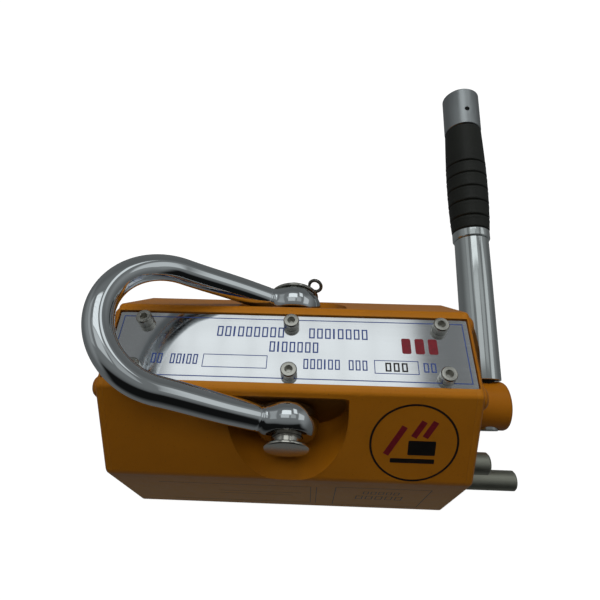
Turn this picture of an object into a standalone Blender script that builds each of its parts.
"""Permanent lifting magnet, 300 kg class, as an assembly of separate parts.

Frame: origin in the middle of the flat floor of the vee groove under the body,
+X towards the lever end, +Y towards the back, +Z up.  The pole faces are
VEE_D below the origin.  The heights below are counted up from the pole faces,
and one empty lowers the whole assembly by VEE_D.  All lengths are in metres.
"""
import math
import bpy
import bmesh
from mathutils import Matrix, Vector

MM = 0.001
GAP = 0.3 * MM                      # running and fitting clearance everywhere
FAR = 0.1                           # where cutters end, clear of the body
STEPS = 24                          # sides of the round pieces
FINE_STEPS = 36                     # sides of the rotor, its bearings and the bore
HOLE_STEPS = 16                     # sides of the small holes
FILLET_STEPS = 4                    # segments in a rounded corner

# ---- body --------------------------------------------------------------
BODY_L = 162 * MM                   # over the end covers
BODY_W = 94.5 * MM
BODY_H = 91 * MM
SIDE_H = 57.5 * MM                  # height of the upright part of the sides
TOP_HALF_W = 20.6 * MM              # half width of the flat top
COVER_T = 3.5 * MM                  # end cover thickness
RIM_R = 2.0 * MM                    # rounding of the end covers' outer rim
FOOT_R, SIDE_R, TOP_R = 2.8 * MM, 5.0 * MM, 2.6 * MM    # long edges of the body
POLE_GAP = 8.0 * MM                 # half distance between the two pole blocks
VEE_HALF_W, VEE_D = 16.0 * MM, 4.0 * MM
VEE_FLOOR = 8.0 * MM                # half width of the groove's flat floor
HALF_L = BODY_L / 2
BLOCK_HALF = HALF_L - COVER_T - GAP
FILL_HALF_W = POLE_GAP - GAP        # half width of what lies between the blocks

STRIP_TOP = 20.0 * MM               # bottom strip, before the bore cuts it
SPACER_BOTTOM = 70.0 * MM
FIXED_MAGNET_BOTTOM = 57.4 * MM

BORE_R = 24.0 * MM                  # rotor bore
BORE_Z = 32.5 * MM                  # height of the rotor axis

POCKET_R, POCKET_Z = 25.5 * MM, 81.5 * MM   # spotfaces for the shackle eyes
POCKET_FLOOR = 22.6 * MM            # distance of their floors from the middle
POCKET_HALF_T = 20.0 * MM           # half thickness of the pocket cutters
POCKET_TOP = 110.0 * MM
POCKET_STEPS = 28

# ---- end cover screws --------------------------------------------------
# (y, z) in the order of their numbers: two at the top, two at the bottom
COVER_SCREWS = [(side * y, z) for y, z in ((17.6 * MM, 83.0 * MM), (38.0 * MM, 8.5 * MM))
                for side in (-1, 1)]
COVER_HOLE_R = 2.8 * MM
COVER_CUT_X = 70.0 * MM             # where cuts through an end cover start
TAP_X = 67.0 * MM                   # floor of the tapped holes in the blocks
COVER_SCREW_R, COVER_SCREW_TIP = 2.5 * MM, -12.5 * MM

# ---- nameplate ---------------------------------------------------------
PLATE_L, PLATE_W, PLATE_T = 158.0 * MM, 33.4 * MM, 0.8 * MM
PLATE_TOP = 90.0 * MM
RECESS_FLOOR = PLATE_TOP - PLATE_T - GAP
SCREW_X, SCREW_Y = 66.5 * MM, 12.0 * MM
SCREW_XS = (-SCREW_X, 0, SCREW_X)
PLATE_HOLE_R = 2.3 * MM
PLATE_TAP_FLOOR = 84.6 * MM
PLATE_HEAD_R, PLATE_HEAD_H = 3.5 * MM, 4.3 * MM
PLATE_STEM_R, PLATE_STEM_L = 2.0 * MM, 5.0 * MM
SOCKET_R, SOCKET_FLOOR = 1.75 * MM, 2.0 * MM    # floor above the plate

# ---- rotor -------------------------------------------------------------
ROTOR_R, ROTOR_HALF = 23.6 * MM, 68.0 * MM
ARC_STEPS = 16                      # segments in the arc of a rotor pole
SHAFT_R = 8.0 * MM
SHAFT_EDGE = 0.6 * MM
DRIVE_END, IDLE_END = 95.4 * MM, 76.8 * MM
DISC_INNER, DISC_OUTER = ROTOR_HALF + GAP, 72.3 * MM    # end discs, from the middle
SLAB = 8.0 * MM                     # half thickness of the rotor magnets
ROTOR_MAGNET_HALF_H = 21.0 * MM
ROTOR_SCREW_Y = 15.5 * MM
ROTOR_HOLE_R, ROTOR_TAP_X = 2.3 * MM, 55.0 * MM
ROTOR_HEAD_R, ROTOR_HEAD_TOP = 3.7 * MM, 72.1 * MM
ROTOR_STEM_R, ROTOR_STEM_TIP = 2.0 * MM, 57.0 * MM
SINK_R, SINK_FLOOR = 4.0 * MM, 70.2 * MM        # counterbores for the heads

# ---- hub and its cross pin ---------------------------------------------
HUB_R, HUB_END = 12.7 * MM, 112.7 * MM
CROSS_R, CROSS_LOW, CROSS_HIGH = 3.5 * MM, -13.4 * MM, 13.1 * MM
CROSS_EDGE = 0.5 * MM
CROSS_SIDES = 20
CROSS_CUT = 30.0 * MM               # half length of the cross cutters

# ---- lever -------------------------------------------------------------
LEVER_UP = math.radians(18.0)       # lever above the horizontal, to the back
LEVER_DIR = Vector((0, math.cos(LEVER_UP), math.sin(LEVER_UP)))
ACROSS = Vector((0, -math.sin(LEVER_UP), math.cos(LEVER_UP)))   # square to the lever
CROSS_MID = Vector((89.0 * MM, 0, BORE_Z))
LEVER_FOOT = Vector((102.4 * MM, 0, BORE_Z))
LEVER_ROD_R, TUBE_R, TUBE_IN, TUBE_NECK_R = 6.0 * MM, 9.6 * MM, 6.3 * MM, 8.0 * MM
NECK_FIT_R = TUBE_NECK_R + GAP      # inside of what sits on the tube's neck
# Distances along the lever from the hub axis
ROD_0, ROD_1 = -13.2 * MM, 176.5 * MM
TUBE_0, STEP_0, TUBE_1 = 13.0 * MM, 94.9 * MM, 177.0 * MM   # the neck starts at STEP_0
COLLAR_0, COLLAR_1 = STEP_0 + GAP, 100.2 * MM
GRIP_0, GRIP_1 = COLLAR_1 + GAP, 169.9 * MM
CAP_0, CAP_1 = GRIP_1 + GAP, 196.2 * MM
CAP_HOLE = 180.4 * MM
LEVER_EDGE = 0.6 * MM               # edge breaks on the rod, tube and collar
COLLAR_R, CAP_R = 10.5 * MM, 11.1 * MM
GRIP_R = 10.7 * MM                  # grip radius before swell and flare
GRIP_SWELL, GRIP_FLARE = 1.05 * MM, 0.35 * MM
GRIP_STATIONS, GRIP_EDGE = 10, 0.5 * MM

# ---- pins on the end face ----------------------------------------------
STOP_R, STOP_START, STOP_END = 5.0 * MM, 57.0 * MM, 115.0 * MM
STOP_EDGE = 0.7 * MM
STOP_SEAT_X = 56.0 * MM
ON_STOP = (-35.0 * MM, 19.4 * MM)   # (y, z)
OFF_STOP = (37.6 * MM, 28.9 * MM)
LOCK_AT, LOCK_END = (-35.0 * MM, 48.5 * MM), 92.5 * MM
LOCK_POCKET_R, LOCK_POCKET_X = 6.4 * MM, 50.0 * MM
LOCK_EDGE = 0.9 * MM
LOCK_COLLAR_R, LOCK_COLLAR_IN = 6.0 * MM, 74.2 * MM
LOCK_TAIL_R, LOCK_TAIL_END = 3.2 * MM, 62.5 * MM
SPRING_START, SPRING_END = 51.2 * MM, 73.1 * MM
SPRING_R, SPRING_WIRE_R = 4.7 * MM, 0.6 * MM
SPRING_TURNS, SPRING_PER_TURN = 5, 8

# ---- shackle -----------------------------------------------------------
PIN_Z, PIN_R = 77.1 * MM, 6.5 * MM
PIN_MID = Vector((0, 0, PIN_Z))
EYE_Y, EYE_R, EYE_HALF_T = 29.5 * MM, 13.4 * MM, 5.9 * MM
EYE_FLATTEN = 1.9                   # above 1 the eye's rim falls off faster than a ball's
EYE_STEPS = 8
BOW_R, BOW_LEN, BOW_ROD_R = 28.6 * MM, 56.0 * MM, 6.0 * MM
BOW_LEG = (4.0 * MM, 20.0 * MM)     # stations on each straight leg, from the pin
BOW_STEPS = 14
LEAN = math.radians(30.6)           # bow above the horizontal, leaning to -X
BOW_DIR = Vector((-math.cos(LEAN), 0, math.sin(LEAN)))
PIN_HEAD_R, PIN_HEAD_END, PIN_TIP = 9.7 * MM, 40.6 * MM, -41.4 * MM
WASHER_R, WASHER_T = 12.0 * MM, 1.0 * MM

# ---- split pin ---------------------------------------------------------
SPLIT_MID = Vector((0, 38.9 * MM, PIN_Z))
SPLIT_UP = math.radians(32)         # split pin above the horizontal, to +X
SPLIT_DIR = Vector((math.cos(SPLIT_UP), 0, math.sin(SPLIT_UP)))
SPLIT_HOLE_R, SPLIT_CUT = 1.75 * MM, 20.0 * MM
SPLIT_WIRE_R, LEG_OFFSET = 0.62 * MM, 0.78 * MM
RING_MID, RING_R = 12.2 * MM, 3.3 * MM          # the split pin's own eye
RING_STEPS = 14
LEG_TIP, LEG_BEND, LEG_TOP = -11.0 * MM, -8.4 * MM, 7.4 * MM
TWIST = math.radians(60)            # the eye is turned out of the shackle pin's length

# Colour, roughness, metallic
PALETTE = {
    "orange_paint": ((0.62, 0.23, 0.015), 0.4, 0.0),
    "chrome": ((0.75, 0.76, 0.78), 0.08, 1.0),
    "turned_steel": ((0.42, 0.42, 0.40), 0.35, 1.0),
    "plate_steel": ((0.72, 0.73, 0.74), 0.15, 1.0),
    "aluminium": ((0.62, 0.63, 0.65), 0.3, 1.0),
    "brass": ((0.70, 0.52, 0.22), 0.3, 1.0),
    "bronze": ((0.48, 0.30, 0.14), 0.35, 1.0),
    "magnet": ((0.50, 0.51, 0.53), 0.3, 1.0),
    "black_rubber": ((0.018, 0.018, 0.02), 0.6, 0.0),
    "spring_steel": ((0.30, 0.30, 0.30), 0.35, 1.0),
}

# Local x, y, z -> world Y, Z, X
YZ_TO_X = Matrix(((0, 0, 1, 0), (1, 0, 0, 0), (0, 1, 0, 0), (0, 0, 0, 1)))
# Local x, y, z -> world X, Z, -Y
XZ_TO_Y = Matrix(((1, 0, 0, 0), (0, 0, -1, 0), (0, 1, 0, 0), (0, 0, 0, 1)))

# ---- scene -------------------------------------------------------------
for old in list(bpy.data.objects):
    bpy.data.objects.remove(old, do_unlink=True)

scene = bpy.context.scene
PARTS = bpy.data.collections.new("lifting_magnet")
CUTTERS = bpy.data.collections.new("cutters")
scene.collection.children.link(PARTS)
scene.collection.children.link(CUTTERS)
datum = bpy.data.objects.new("pole_face_datum", None)
datum.location = (0, 0, -VEE_D)
PARTS.objects.link(datum)


# ---- builders ----------------------------------------------------------
def material(name, colour, roughness, metallic):
    mat = bpy.data.materials.new(name)
    mat.use_nodes = True
    bsdf = mat.node_tree.nodes["Principled BSDF"]
    bsdf.inputs["Base Color"].default_value = (*colour, 1.0)
    bsdf.inputs["Roughness"].default_value = roughness
    bsdf.inputs["Metallic"].default_value = metallic
    return mat


def place(name, mesh, finish, matrix):
    """Link a mesh as a part, or as a boolean helper when it has no finish."""
    ob = bpy.data.objects.new(name, mesh)
    ob.parent = datum
    ob.matrix_local = matrix
    if finish is None:
        CUTTERS.objects.link(ob)
        ob.hide_render = True
        ob.display_type = "WIRE"
    else:
        PARTS.objects.link(ob)
        mesh.materials.append(material(name + "_" + finish, *PALETTE[finish]))
    return ob


def smooth(ob):
    ob.data.shade_smooth()
    ob.data.set_sharp_from_angle(angle=math.radians(35))


def along(origin, direction):
    """Matrix that puts local +Z along a direction."""
    quat = Vector(direction).normalized().to_track_quat("Z", "Y")
    return Matrix.Translation(Vector(origin)) @ quat.to_matrix().to_4x4()


def box(name, low, high, finish=None):
    """A box between two opposite corners."""
    mesh = bpy.data.meshes.new(name)
    bm = bmesh.new()
    bmesh.ops.create_cube(bm, size=1.0)
    size = [b - a for a, b in zip(low, high)]
    bmesh.ops.scale(bm, vec=size, verts=bm.verts)
    bm.to_mesh(mesh)
    bm.free()
    centre = [(b + a) / 2 for a, b in zip(low, high)]
    return place(name, mesh, finish, Matrix.Translation(centre))


def rod(name, radius, start, end, sides=STEPS):
    """A plain cylinder cutter from one point to another."""
    start, end = Vector(start), Vector(end)
    mesh = bpy.data.meshes.new(name)
    bm = bmesh.new()
    bmesh.ops.create_cone(bm, cap_ends=True, segments=sides, radius1=radius,
                          radius2=radius, depth=(end - start).length)
    bm.to_mesh(mesh)
    bm.free()
    ob = place(name, mesh, None, along((start + end) / 2, end - start))
    if sides > 8:
        smooth(ob)
    return ob


def turned(name, profile, origin, direction, finish=None, closed=False, steps=STEPS):
    """A turned piece: (radius, height) pairs from the top down the outside."""
    mesh = bpy.data.meshes.new(name)
    bm = bmesh.new()
    verts = [bm.verts.new((radius, 0.0, height)) for radius, height in profile]
    for pair in zip(verts, verts[1:]):
        bm.edges.new(pair)
    if closed:
        bm.edges.new((verts[-1], verts[0]))
    bm.to_mesh(mesh)
    bm.free()
    ob = place(name, mesh, finish, along(origin, direction))
    screw = ob.modifiers.new("turn", "SCREW")
    screw.axis = "Z"
    screw.angle = 2 * math.pi
    screw.steps = screw.render_steps = steps
    screw.use_merge_vertices = True
    screw.merge_threshold = 0.02 * MM
    screw.use_smooth_shade = True
    return ob


def meshed(guide, name, finish):
    """Turn a curve object into a welded mesh object and drop the curve object."""
    scene.collection.objects.link(guide)
    bpy.context.view_layer.update()
    graph = bpy.context.evaluated_depsgraph_get()
    mesh = bpy.data.meshes.new_from_object(guide.evaluated_get(graph))
    matrix = guide.matrix_world.copy()
    bm = bmesh.new()
    bm.from_mesh(mesh)
    bmesh.ops.remove_doubles(bm, verts=bm.verts, dist=0.005 * MM)
    bmesh.ops.recalc_face_normals(bm, faces=bm.faces)
    bm.to_mesh(mesh)
    bm.free()
    bpy.data.objects.remove(guide, do_unlink=True)
    mesh.name = name
    return place(name, mesh, finish, matrix)


def add_spline(curve, points):
    """Add a straight-segment spline through 3D points and return it."""
    spline = curve.splines.new("POLY")
    spline.points.add(len(points) - 1)
    for point, co in zip(spline.points, points):
        point.co = (*co, 1.0)
    return spline


def extruded(name, outline, half, matrix, finish=None):
    """A flat outline made solid, +-half thick along local Z."""
    curve = bpy.data.curves.new(name + "_outline", "CURVE")
    curve.dimensions = "2D"
    curve.fill_mode = "BOTH"
    curve.extrude = half
    spline = add_spline(curve, [(x, y, 0.0) for x, y in outline])
    spline.use_cyclic_u = True
    guide = bpy.data.objects.new(name + "_outline", curve)
    guide.matrix_world = matrix
    return meshed(guide, name, finish)


def wire(name, points, radius, finish, resolution):
    """A round wire or bar swept along points."""
    curve = bpy.data.curves.new(name, "CURVE")
    curve.dimensions = "3D"
    curve.bevel_depth = radius
    curve.bevel_resolution = resolution
    curve.use_fill_caps = True
    add_spline(curve, points)
    return meshed(bpy.data.objects.new(name, curve), name, finish)


def boolean(ob, other, kind="DIFFERENCE"):
    mod = ob.modifiers.new(kind.lower() + "_" + other.name, "BOOLEAN")
    mod.operation = kind
    mod.object = other
    mod.solver = "EXACT"


def drill(ob, name, radius, start, end, sides=STEPS):
    """Cut a round hole from one point to another."""
    boolean(ob, rod(name, radius, start, end, sides))


def drill_end(ob, name, radius, start_x, at, end=1, sides=STEPS):
    """Cut a hole at (y, z) from start_x out through the +X (1) or -X (-1) end."""
    drill(ob, name, radius, (end * start_x, *at), (end * FAR, *at), sides)


def drill_across(ob, name, radius, middle, half_run, sides=STEPS):
    """Cut a hole reaching the vector half_run to both sides of its middle."""
    drill(ob, name, radius, middle - half_run, middle + half_run, sides)


def round_rim(ob, rim, width, segments):
    """Round only the edges at local height rim, by bevel weight."""
    mesh = ob.data
    bm = bmesh.new()
    bm.from_mesh(mesh)
    bmesh.ops.dissolve_limit(bm, angle_limit=math.radians(0.5), verts=bm.verts, edges=bm.edges)
    bm.to_mesh(mesh)
    bm.free()
    weights = mesh.attributes.new("bevel_weight_edge", "FLOAT", "EDGE")
    for edge in mesh.edges:
        on_rim = all(abs(mesh.vertices[i].co.z - rim) < 1e-6 for i in edge.vertices)
        weights.data[edge.index].value = 1.0 if on_rim else 0.0
    mod = ob.modifiers.new("round", "BEVEL")
    mod.limit_method = "WEIGHT"
    mod.use_clamp_overlap = False   # the rim's corners have larger radii than the width
    mod.width = width
    mod.segments = segments


def filleted(corners):
    """Outline with rounded corners from (x, y, radius) triples."""
    outline = []
    for i, (x, y, radius) in enumerate(corners):
        if radius <= 0:
            outline.append((x, y))
            continue
        corner = Vector((x, y))
        before = (Vector(corners[i - 1][:2]) - corner).normalized()
        after = (Vector(corners[(i + 1) % len(corners)][:2]) - corner).normalized()
        half = before.angle(after) / 2
        reach = radius / math.tan(half)
        centre = corner + (before + after).normalized() * (radius / math.sin(half))
        start = corner + before * reach - centre
        end = corner + after * reach - centre
        sweep = start.angle(end)
        sign = 1.0 if start.x * end.y - start.y * end.x > 0 else -1.0
        for k in range(FILLET_STEPS + 1):
            angle = sign * sweep * k / FILLET_STEPS
            cos, sin = math.cos(angle), math.sin(angle)
            spoke = Vector((start.x * cos - start.y * sin, start.x * sin + start.y * cos))
            outline.append(tuple(centre + spoke))
    return outline


def bar_profile(radius, low, high, edge):
    """Profile of a plain turned bar with a small edge break at both ends."""
    return [(0, high), (radius - edge, high), (radius, high - edge),
            (radius, low + edge), (radius - edge, low), (0, low)]


def magnet_row(stem, pitch, half_length, half_width, low, high, edge):
    """Three magnets in a row along X, with their edges broken."""
    for k, x in enumerate((-pitch, 0.0, pitch)):
        block = box("%s_%d" % (stem, k + 1), (x - half_length, -half_width, low),
                    (x + half_length, half_width, high), "magnet")
        bevel = block.modifiers.new("break_edges", "BEVEL")
        bevel.width = edge
        bevel.segments = 1


# ---- cutters shared by several parts -----------------------------------
def make_vee_cutter():
    """The groove's sloping sides carried on down to VEE_D below the pole faces."""
    wide = 2 * VEE_HALF_W - VEE_FLOOR
    return extruded("cut_vee", [(-wide, -VEE_D), (wide, -VEE_D), (VEE_FLOOR, VEE_D),
                                (-VEE_FLOOR, VEE_D)], FAR, YZ_TO_X)


def make_pocket_cutter(side, sign):
    """Half round below, straight sided above."""
    outline = []
    for k in range(POCKET_STEPS + 1):
        angle = math.pi + math.pi * k / POCKET_STEPS
        outline.append((POCKET_R * math.cos(angle), POCKET_Z + POCKET_R * math.sin(angle)))
    outline += [(POCKET_R, POCKET_TOP), (-POCKET_R, POCKET_TOP)]
    middle = Matrix.Translation((0, sign * (POCKET_FLOOR + POCKET_HALF_T), 0))
    return extruded("cut_pocket_" + side, outline, POCKET_HALF_T, middle @ XZ_TO_Y)


bore = rod("cut_bore", BORE_R, (-FAR, 0, BORE_Z), (FAR, 0, BORE_Z), FINE_STEPS)
plate_recess = box("cut_plate_recess", (-PLATE_L / 2 - GAP, -PLATE_W / 2 - GAP, RECESS_FLOOR),
                   (PLATE_L / 2 + GAP, PLATE_W / 2 + GAP, FAR))
vee = make_vee_cutter()
pin_hole = rod("cut_pin_hole", PIN_R + GAP, (0, -60 * MM, PIN_Z), (0, 60 * MM, PIN_Z))


# ---- body --------------------------------------------------------------
def build_pole_block(side, sign):
    """Half of the body: sign is -1 at the front, 1 at the rear."""
    outline = filleted([(sign * POLE_GAP, 0, 0), (sign * BODY_W / 2, 0, FOOT_R),
                        (sign * BODY_W / 2, SIDE_H, SIDE_R),
                        (sign * TOP_HALF_W, BODY_H, TOP_R), (sign * POLE_GAP, BODY_H, 0)])
    block = extruded(side + "_pole_block", outline, BLOCK_HALF, YZ_TO_X, "orange_paint")
    for cutter in (bore, plate_recess, vee, make_pocket_cutter(side, sign), pin_hole):
        boolean(block, cutter)
    # tapped holes for the nameplate screws
    for x in SCREW_XS:
        drill(block, "cut_%s_plate_screw_%d" % (side, round(x / MM)), PLATE_HOLE_R,
              (x, sign * SCREW_Y, PLATE_TAP_FLOOR), (x, sign * SCREW_Y, FAR), HOLE_STEPS)
    # tapped holes for the end cover screws, both ends
    for k, at in enumerate(COVER_SCREWS):
        if at[0] * sign > 0:
            for end in (-1, 1):
                drill_end(block, "cut_%s_cover_screw_%d_%d" % (side, k, end), COVER_HOLE_R,
                          TAP_X, at, end, HOLE_STEPS)
    # seats of the pins on the lever end
    stop = ON_STOP if sign < 0 else OFF_STOP
    drill_end(block, "cut_%s_stop_seat" % side, STOP_R + GAP, STOP_SEAT_X, stop)
    if sign < 0:
        drill_end(block, "cut_lock_pocket", LOCK_POCKET_R, LOCK_POCKET_X, LOCK_AT)


def build_between_poles():
    """Bottom strip, top spacer and the row of fixed magnets under it."""
    strip = box("bottom_gap_strip", (-BLOCK_HALF, -FILL_HALF_W, VEE_D),
                (BLOCK_HALF, FILL_HALF_W, STRIP_TOP), "brass")
    drill(strip, "cut_strip_top", BORE_R + GAP, (-FAR, 0, BORE_Z), (FAR, 0, BORE_Z), FINE_STEPS)
    spacer = box("top_spacer", (-BLOCK_HALF, -FILL_HALF_W, SPACER_BOTTOM),
                 (BLOCK_HALF, FILL_HALF_W, RECESS_FLOOR), "aluminium")
    boolean(spacer, pin_hole)
    magnet_row("fixed_magnet", pitch=46.5 * MM, half_length=22.8 * MM, half_width=FILL_HALF_W,
               low=FIXED_MAGNET_BOTTOM, high=SPACER_BOTTOM - GAP, edge=0.5 * MM)


def build_end_cover(side, end):
    """Cover over the body's whole end; the one at +X also lets the shaft and pins out."""
    outline = filleted([(-BODY_W / 2, 0, FOOT_R), (BODY_W / 2, 0, FOOT_R),
                        (BODY_W / 2, SIDE_H, SIDE_R), (TOP_HALF_W, BODY_H, TOP_R),
                        (-TOP_HALF_W, BODY_H, TOP_R), (-BODY_W / 2, SIDE_H, SIDE_R)])
    middle = Matrix.Translation((end * (HALF_L - COVER_T / 2), 0, 0))
    cover = extruded(side + "_end_cover", outline, COVER_T / 2, middle @ YZ_TO_X,
                     "orange_paint")
    round_rim(cover, end * COVER_T / 2, width=RIM_R, segments=3)
    boolean(cover, plate_recess)
    boolean(cover, vee)
    for k, at in enumerate(COVER_SCREWS):
        drill_end(cover, "cut_cover_%d_%d" % (k, end), COVER_HOLE_R, COVER_CUT_X, at, end,
                  HOLE_STEPS)
    if end > 0:
        for name, radius, at in (("shaft", SHAFT_R + 2 * GAP, (0, BORE_Z)),
                                 ("on_stop", STOP_R + GAP, ON_STOP),
                                 ("off_stop", STOP_R + GAP, OFF_STOP),
                                 ("lock", STOP_R + GAP, LOCK_AT)):
            drill_end(cover, "cut_cover_" + name, radius, COVER_CUT_X, at)


def build_cover_screws(side, end):
    """Round-headed screws, a little over three millimetres proud."""
    # (radius, height above the cover)
    profile = [(0, 3.2 * MM), (2.0 * MM, 3.1 * MM), (3.8 * MM, 2.5 * MM), (4.9 * MM, 1.3 * MM),
               (5.1 * MM, GAP), (COVER_SCREW_R, GAP), (COVER_SCREW_R, COVER_SCREW_TIP),
               (0, COVER_SCREW_TIP)]
    for k, at in enumerate(COVER_SCREWS):
        turned("%s_cover_screw_%d" % (side, k + 1), profile, (end * HALF_L, *at), (end, 0, 0),
               "orange_paint", steps=12)


# ---- nameplate ---------------------------------------------------------
def build_nameplate():
    """Plate and its six socket-headed screws, the rear row numbered first."""
    plate = box("nameplate", (-PLATE_L / 2, -PLATE_W / 2, PLATE_TOP - PLATE_T),
                (PLATE_L / 2, PLATE_W / 2, PLATE_TOP), "plate_steel")
    profile = [(0, PLATE_HEAD_H), (PLATE_HEAD_R - 0.4 * MM, PLATE_HEAD_H),
               (PLATE_HEAD_R, PLATE_HEAD_H - 0.4 * MM), (PLATE_HEAD_R, GAP),
               (PLATE_STEM_R, GAP), (PLATE_STEM_R, -PLATE_STEM_L), (0, -PLATE_STEM_L)]
    places = [(x, y) for y in (SCREW_Y, -SCREW_Y) for x in SCREW_XS]
    for number, (x, y) in enumerate(places, 1):
        drill(plate, "cut_plate_hole_%d" % number, PLATE_HOLE_R, (x, y, 80 * MM), (x, y, FAR),
              HOLE_STEPS)
        screw = turned("nameplate_screw_%d" % number, profile, (x, y, PLATE_TOP), (0, 0, 1),
                       "turned_steel", steps=18)
        drill(screw, "cut_socket_%d" % number, SOCKET_R, (x, y, PLATE_TOP + SOCKET_FLOOR),
              (x, y, PLATE_TOP + 8 * MM), sides=6)


# ---- bearings and rotor ------------------------------------------------
def build_bearing(side, end):
    inner, outer = SHAFT_R + GAP, BORE_R - GAP
    low, high = DISC_OUTER + GAP, BLOCK_HALF
    turned(side + "_bearing", [(inner, high), (outer, high), (outer, low), (inner, low)],
           (0, 0, BORE_Z), (end, 0, 0), "bronze", closed=True, steps=FINE_STEPS)


def build_rotor_pole(name, sign):
    """A segment of the rotor beside the magnets: sign is its side along Y."""
    first = math.asin((SLAB + GAP) / ROTOR_R)
    arc = []
    for k in range(ARC_STEPS + 1):
        angle = math.pi / 2 - first - (math.pi - 2 * first) * k / ARC_STEPS
        arc.append((sign * ROTOR_R * math.cos(angle), BORE_Z + ROTOR_R * math.sin(angle)))
    pole = extruded(name, arc, ROTOR_HALF, YZ_TO_X, "turned_steel")
    for end in (-1, 1):
        drill_end(pole, "cut_%s_screw_%d" % (name, end), ROTOR_HOLE_R, ROTOR_TAP_X,
                  (sign * ROTOR_SCREW_Y, BORE_Z), end, HOLE_STEPS)


def build_rotor_end(name, end, shaft_end):
    """End disc in one piece with its shaft, and the two screws that hold it."""
    shaft = turned(name, [(0, shaft_end), (SHAFT_R - SHAFT_EDGE, shaft_end),
                          (SHAFT_R, shaft_end - SHAFT_EDGE), (SHAFT_R, DISC_OUTER),
                          (ROTOR_R, DISC_OUTER), (ROTOR_R, DISC_INNER), (0, DISC_INNER)],
                   (0, 0, BORE_Z), (end, 0, 0), "turned_steel", steps=FINE_STEPS)
    head_floor = SINK_FLOOR + GAP
    screw_profile = [(0, ROTOR_HEAD_TOP), (ROTOR_HEAD_R, ROTOR_HEAD_TOP),
                     (ROTOR_HEAD_R, head_floor), (ROTOR_STEM_R, head_floor),
                     (ROTOR_STEM_R, ROTOR_STEM_TIP), (0, ROTOR_STEM_TIP)]
    for sign in (-1, 1):
        at = (sign * ROTOR_SCREW_Y, BORE_Z)
        drill_end(shaft, "cut_%s_hole_%d" % (name, sign), ROTOR_HOLE_R, 50 * MM, at, end,
                  HOLE_STEPS)
        drill_end(shaft, "cut_%s_head_%d" % (name, sign), SINK_R, SINK_FLOOR, at, end, sides=20)
        number = 1 + (end < 0) * 2 + (sign < 0)
        turned("rotor_screw_%d" % number, screw_profile, (0, *at), (end, 0, 0),
               "turned_steel", steps=16)
    if end > 0:
        drill_across(shaft, "cut_shaft_cross", CROSS_R + GAP, CROSS_MID, LEVER_DIR * CROSS_CUT,
                     CROSS_SIDES)


def build_rotor():
    build_rotor_pole("rotor_pole_a", 1)
    build_rotor_pole("rotor_pole_b", -1)
    magnet_row("rotor_magnet", pitch=45.3 * MM, half_length=22.4 * MM, half_width=SLAB,
               low=BORE_Z - ROTOR_MAGNET_HALF_H, high=BORE_Z + ROTOR_MAGNET_HALF_H,
               edge=0.6 * MM)
    build_rotor_end("rotor_drive_shaft", 1, DRIVE_END)
    build_rotor_end("rotor_idle_shaft", -1, IDLE_END)


# ---- hub and lever -----------------------------------------------------
def build_hub():
    """Hub on the drive shaft, with the pin across both."""
    foot = HALF_L + GAP
    hub = turned("hub", [(0, HUB_END), (HUB_R - 1.8 * MM, HUB_END),
                         (HUB_R - 0.5 * MM, HUB_END - 0.6 * MM), (HUB_R, HUB_END - 1.8 * MM),
                         (HUB_R, foot + 0.4 * MM), (HUB_R - 0.4 * MM, foot), (0, foot)],
                 (0, 0, BORE_Z), (1, 0, 0), "orange_paint", steps=28)
    drill(hub, "cut_hub_bore", SHAFT_R + GAP, (70 * MM, 0, BORE_Z), (DRIVE_END + GAP, 0, BORE_Z))
    drill_across(hub, "cut_hub_cross", CROSS_R + GAP, CROSS_MID, LEVER_DIR * CROSS_CUT,
                 CROSS_SIDES)
    drill_across(hub, "cut_hub_rod", LEVER_ROD_R + GAP, LEVER_FOOT, LEVER_DIR * CROSS_CUT)
    turned("hub_cross_pin", bar_profile(CROSS_R, CROSS_LOW, CROSS_HIGH, CROSS_EDGE), CROSS_MID,
           LEVER_DIR, "turned_steel", steps=CROSS_SIDES)


def lever_piece(name, profile, finish, closed=True):
    """A piece turned about the lever's axis, heights counted from the hub axis."""
    return turned(name, profile, LEVER_FOOT, LEVER_DIR, finish, closed)


def build_lever_rod_and_tube():
    lever_piece("lever_rod", bar_profile(LEVER_ROD_R, ROD_0, ROD_1, LEVER_EDGE),
                "turned_steel", closed=False)
    lever_piece("lever_tube",
                [(TUBE_IN, TUBE_1), (TUBE_NECK_R, TUBE_1), (TUBE_NECK_R, STEP_0),
                 (TUBE_R, STEP_0), (TUBE_R, TUBE_0 + LEVER_EDGE),
                 (TUBE_R - LEVER_EDGE, TUBE_0), (TUBE_IN, TUBE_0)], "chrome")
    lever_piece("lever_collar",
                [(NECK_FIT_R, COLLAR_1), (COLLAR_R - 0.3 * MM, COLLAR_1),
                 (COLLAR_R, COLLAR_1 - LEVER_EDGE), (COLLAR_R, COLLAR_0 + 1.2 * MM),
                 (COLLAR_R - 0.6 * MM, COLLAR_0), (NECK_FIT_R, COLLAR_0)], "chrome")


def grip_radius(height):
    """Barrel-shaped grip: widest just below the middle, slimmer at both ends."""
    t = (height - GRIP_0) / (GRIP_1 - GRIP_0)
    # 1.02 ends the swell just before the top, 0.85 moves its peak down
    swell = math.sin(math.pi * min(1.0, t * 1.02) ** 0.85)
    return GRIP_R + GRIP_SWELL * swell + GRIP_FLARE * t


def build_lever_grip():
    profile = [(NECK_FIT_R, GRIP_1)]
    for k in range(GRIP_STATIONS + 1):
        height = GRIP_1 - (GRIP_1 - GRIP_0) * k / GRIP_STATIONS
        radius = grip_radius(height)
        if k in (0, GRIP_STATIONS):
            radius -= GRIP_EDGE
        profile.append((radius, height))
    profile.append((NECK_FIT_R, GRIP_0))
    lever_piece("lever_grip", profile, "black_rubber")


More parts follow.
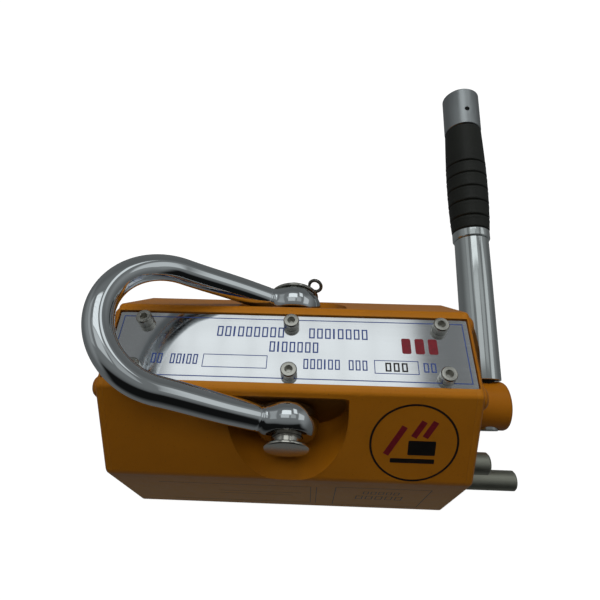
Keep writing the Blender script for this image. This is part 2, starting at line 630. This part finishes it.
def build_lever_cap():
    """End cap over the tube's end, with a set screw in its upper side."""
    cap = lever_piece("lever_end_cap",
                      [(0, CAP_1), (CAP_R - 0.9 * MM, CAP_1), (CAP_R, CAP_1 - 0.9 * MM),
                       (CAP_R, CAP_0 + 0.4 * MM), (CAP_R - 0.4 * MM, CAP_0),
                       (NECK_FIT_R, CAP_0), (NECK_FIT_R, TUBE_1 + GAP), (0, TUBE_1 + GAP)],
                      "aluminium", closed=False)
    hole = LEVER_FOOT + LEVER_DIR * CAP_HOLE
    drill(cap, "cut_cap_hole", 1.5 * MM, hole + ACROSS * 2.0 * MM, hole + ACROSS * 14 * MM,
          HOLE_STEPS)
    turned("cap_set_screw", bar_profile(1.2 * MM, 2.3 * MM, 8.2 * MM, 0.2 * MM), hole, ACROSS,
           "spring_steel", steps=12)


# ---- stops and the lock pin --------------------------------------------
def build_stops():
    for name, at in (("on_stop_pin", ON_STOP), ("off_stop_pin", OFF_STOP)):
        turned(name, bar_profile(STOP_R, STOP_START, STOP_END, STOP_EDGE), (0, *at), (1, 0, 0),
               "turned_steel")


def build_lock():
    """Lock pin with a collar behind the cover, and the spring around its tail."""
    turned("lock_pin", [(0, LOCK_END), (STOP_R - LOCK_EDGE, LOCK_END),
                        (STOP_R, LOCK_END - LOCK_EDGE), (STOP_R, BLOCK_HALF),
                        (LOCK_COLLAR_R, BLOCK_HALF), (LOCK_COLLAR_R, LOCK_COLLAR_IN),
                        (LOCK_TAIL_R, LOCK_COLLAR_IN), (LOCK_TAIL_R, LOCK_TAIL_END),
                        (0, LOCK_TAIL_END)],
           (0, *LOCK_AT), (1, 0, 0), "turned_steel")
    coil = []
    count = SPRING_TURNS * SPRING_PER_TURN
    for k in range(count + 1):
        angle = 2 * math.pi * k / SPRING_PER_TURN
        coil.append((SPRING_START + (SPRING_END - SPRING_START) * k / count,
                     LOCK_AT[0] + SPRING_R * math.cos(angle),
                     LOCK_AT[1] + SPRING_R * math.sin(angle)))
    wire("lock_spring", coil, SPRING_WIRE_R, "spring_steel", resolution=1)


# ---- shackle -----------------------------------------------------------
def bow_point(distance, y):
    """Point in the bow's plane, at a distance from the shackle pin's axis."""
    return PIN_MID + BOW_DIR * distance + Vector((0, y, 0))


def build_shackle_bow():
    """Bent bar with a thick flat-faced eye joined to each leg."""
    path = [bow_point(distance, -EYE_Y) for distance in BOW_LEG]
    for k in range(BOW_STEPS + 1):
        angle = -math.pi / 2 + math.pi * k / BOW_STEPS
        path.append(bow_point(BOW_LEN + BOW_R * math.cos(angle), BOW_R * math.sin(angle)))
    path += [bow_point(distance, EYE_Y) for distance in reversed(BOW_LEG)]
    bow = wire("shackle_bow", path, BOW_ROD_R, "chrome", resolution=3)
    smooth(bow)
    profile = [(0, EYE_HALF_T)]
    for k in range(EYE_STEPS + 1):
        height = EYE_HALF_T - 2 * EYE_HALF_T * k / EYE_STEPS
        profile.append((math.sqrt(EYE_R ** 2 - height ** 2 * EYE_FLATTEN), height))
    profile.append((0, -EYE_HALF_T))
    for side, sign in (("front", -1), ("rear", 1)):
        eye = turned("add_eye_" + side, profile, (0, sign * EYE_Y, PIN_Z), (0, 1, 0))
        boolean(bow, eye, "UNION")
    boolean(bow, pin_hole)


def build_shackle_pin():
    """Pin with its head at the front, and the washer behind the rear eye."""
    head_inner = PIN_HEAD_END - 1.5 * MM
    pin = turned("shackle_pin",
                 [(0, PIN_HEAD_END), (PIN_HEAD_R - 0.5 * MM, PIN_HEAD_END),
                  (PIN_HEAD_R, PIN_HEAD_END - 0.4 * MM), (PIN_HEAD_R, head_inner + 0.4 * MM),
                  (PIN_HEAD_R - 0.5 * MM, head_inner), (PIN_R, head_inner),
                  (PIN_R, PIN_TIP + 0.8 * MM), (PIN_R - 0.8 * MM, PIN_TIP), (0, PIN_TIP)],
                 PIN_MID, (0, -1, 0), "turned_steel")
    drill_across(pin, "cut_split_hole", SPLIT_HOLE_R, SPLIT_MID, SPLIT_DIR * SPLIT_CUT,
                 HOLE_STEPS)
    turned("shackle_washer", [(PIN_R + GAP, WASHER_T), (WASHER_R, WASHER_T), (WASHER_R, 0),
                              (PIN_R + GAP, 0)],
           (0, EYE_Y + EYE_HALF_T + GAP, PIN_Z), (0, 1, 0), "turned_steel", closed=True)


def build_split_pin():
    """Two legs side by side through the hole, spread at the tips, and one round eye."""
    side_dir = (Vector((0, 1, 0)) * math.cos(TWIST)
                + Vector((-SPLIT_DIR.z, 0, SPLIT_DIR.x)) * math.sin(TWIST))

    def leg(sign, spread):
        """Points of one leg from its tip up to the eye."""
        stations = ((LEG_TIP, LEG_OFFSET + spread), (LEG_BEND, LEG_OFFSET),
                    (LEG_TOP, LEG_OFFSET))
        return [SPLIT_MID + SPLIT_DIR * distance + side_dir * (sign * offset)
                for distance, offset in stations]

    joint = math.asin(LEG_OFFSET / RING_R)
    loop = leg(-1, 1.1 * MM)
    for k in range(RING_STEPS + 1):
        angle = math.pi + joint + (2 * math.pi - 2 * joint) * k / RING_STEPS
        loop.append(SPLIT_MID + SPLIT_DIR * (RING_MID + RING_R * math.cos(angle))
                    + side_dir * (RING_R * math.sin(angle)))
    loop += reversed(leg(1, 0.6 * MM))
    wire("split_pin", loop, SPLIT_WIRE_R, "spring_steel", resolution=1)


# ---- assembly ----------------------------------------------------------
build_pole_block("front", -1)
build_pole_block("rear", 1)
build_between_poles()
for side, end in (("left", -1), ("right", 1)):
    build_end_cover(side, end)
    build_cover_screws(side, end)
    build_bearing(side, end)
build_nameplate()
build_rotor()
build_hub()
build_lever_rod_and_tube()
build_lever_grip()
build_lever_cap()
build_stops()
build_lock()
build_shackle_bow()
build_shackle_pin()
build_split_pin()
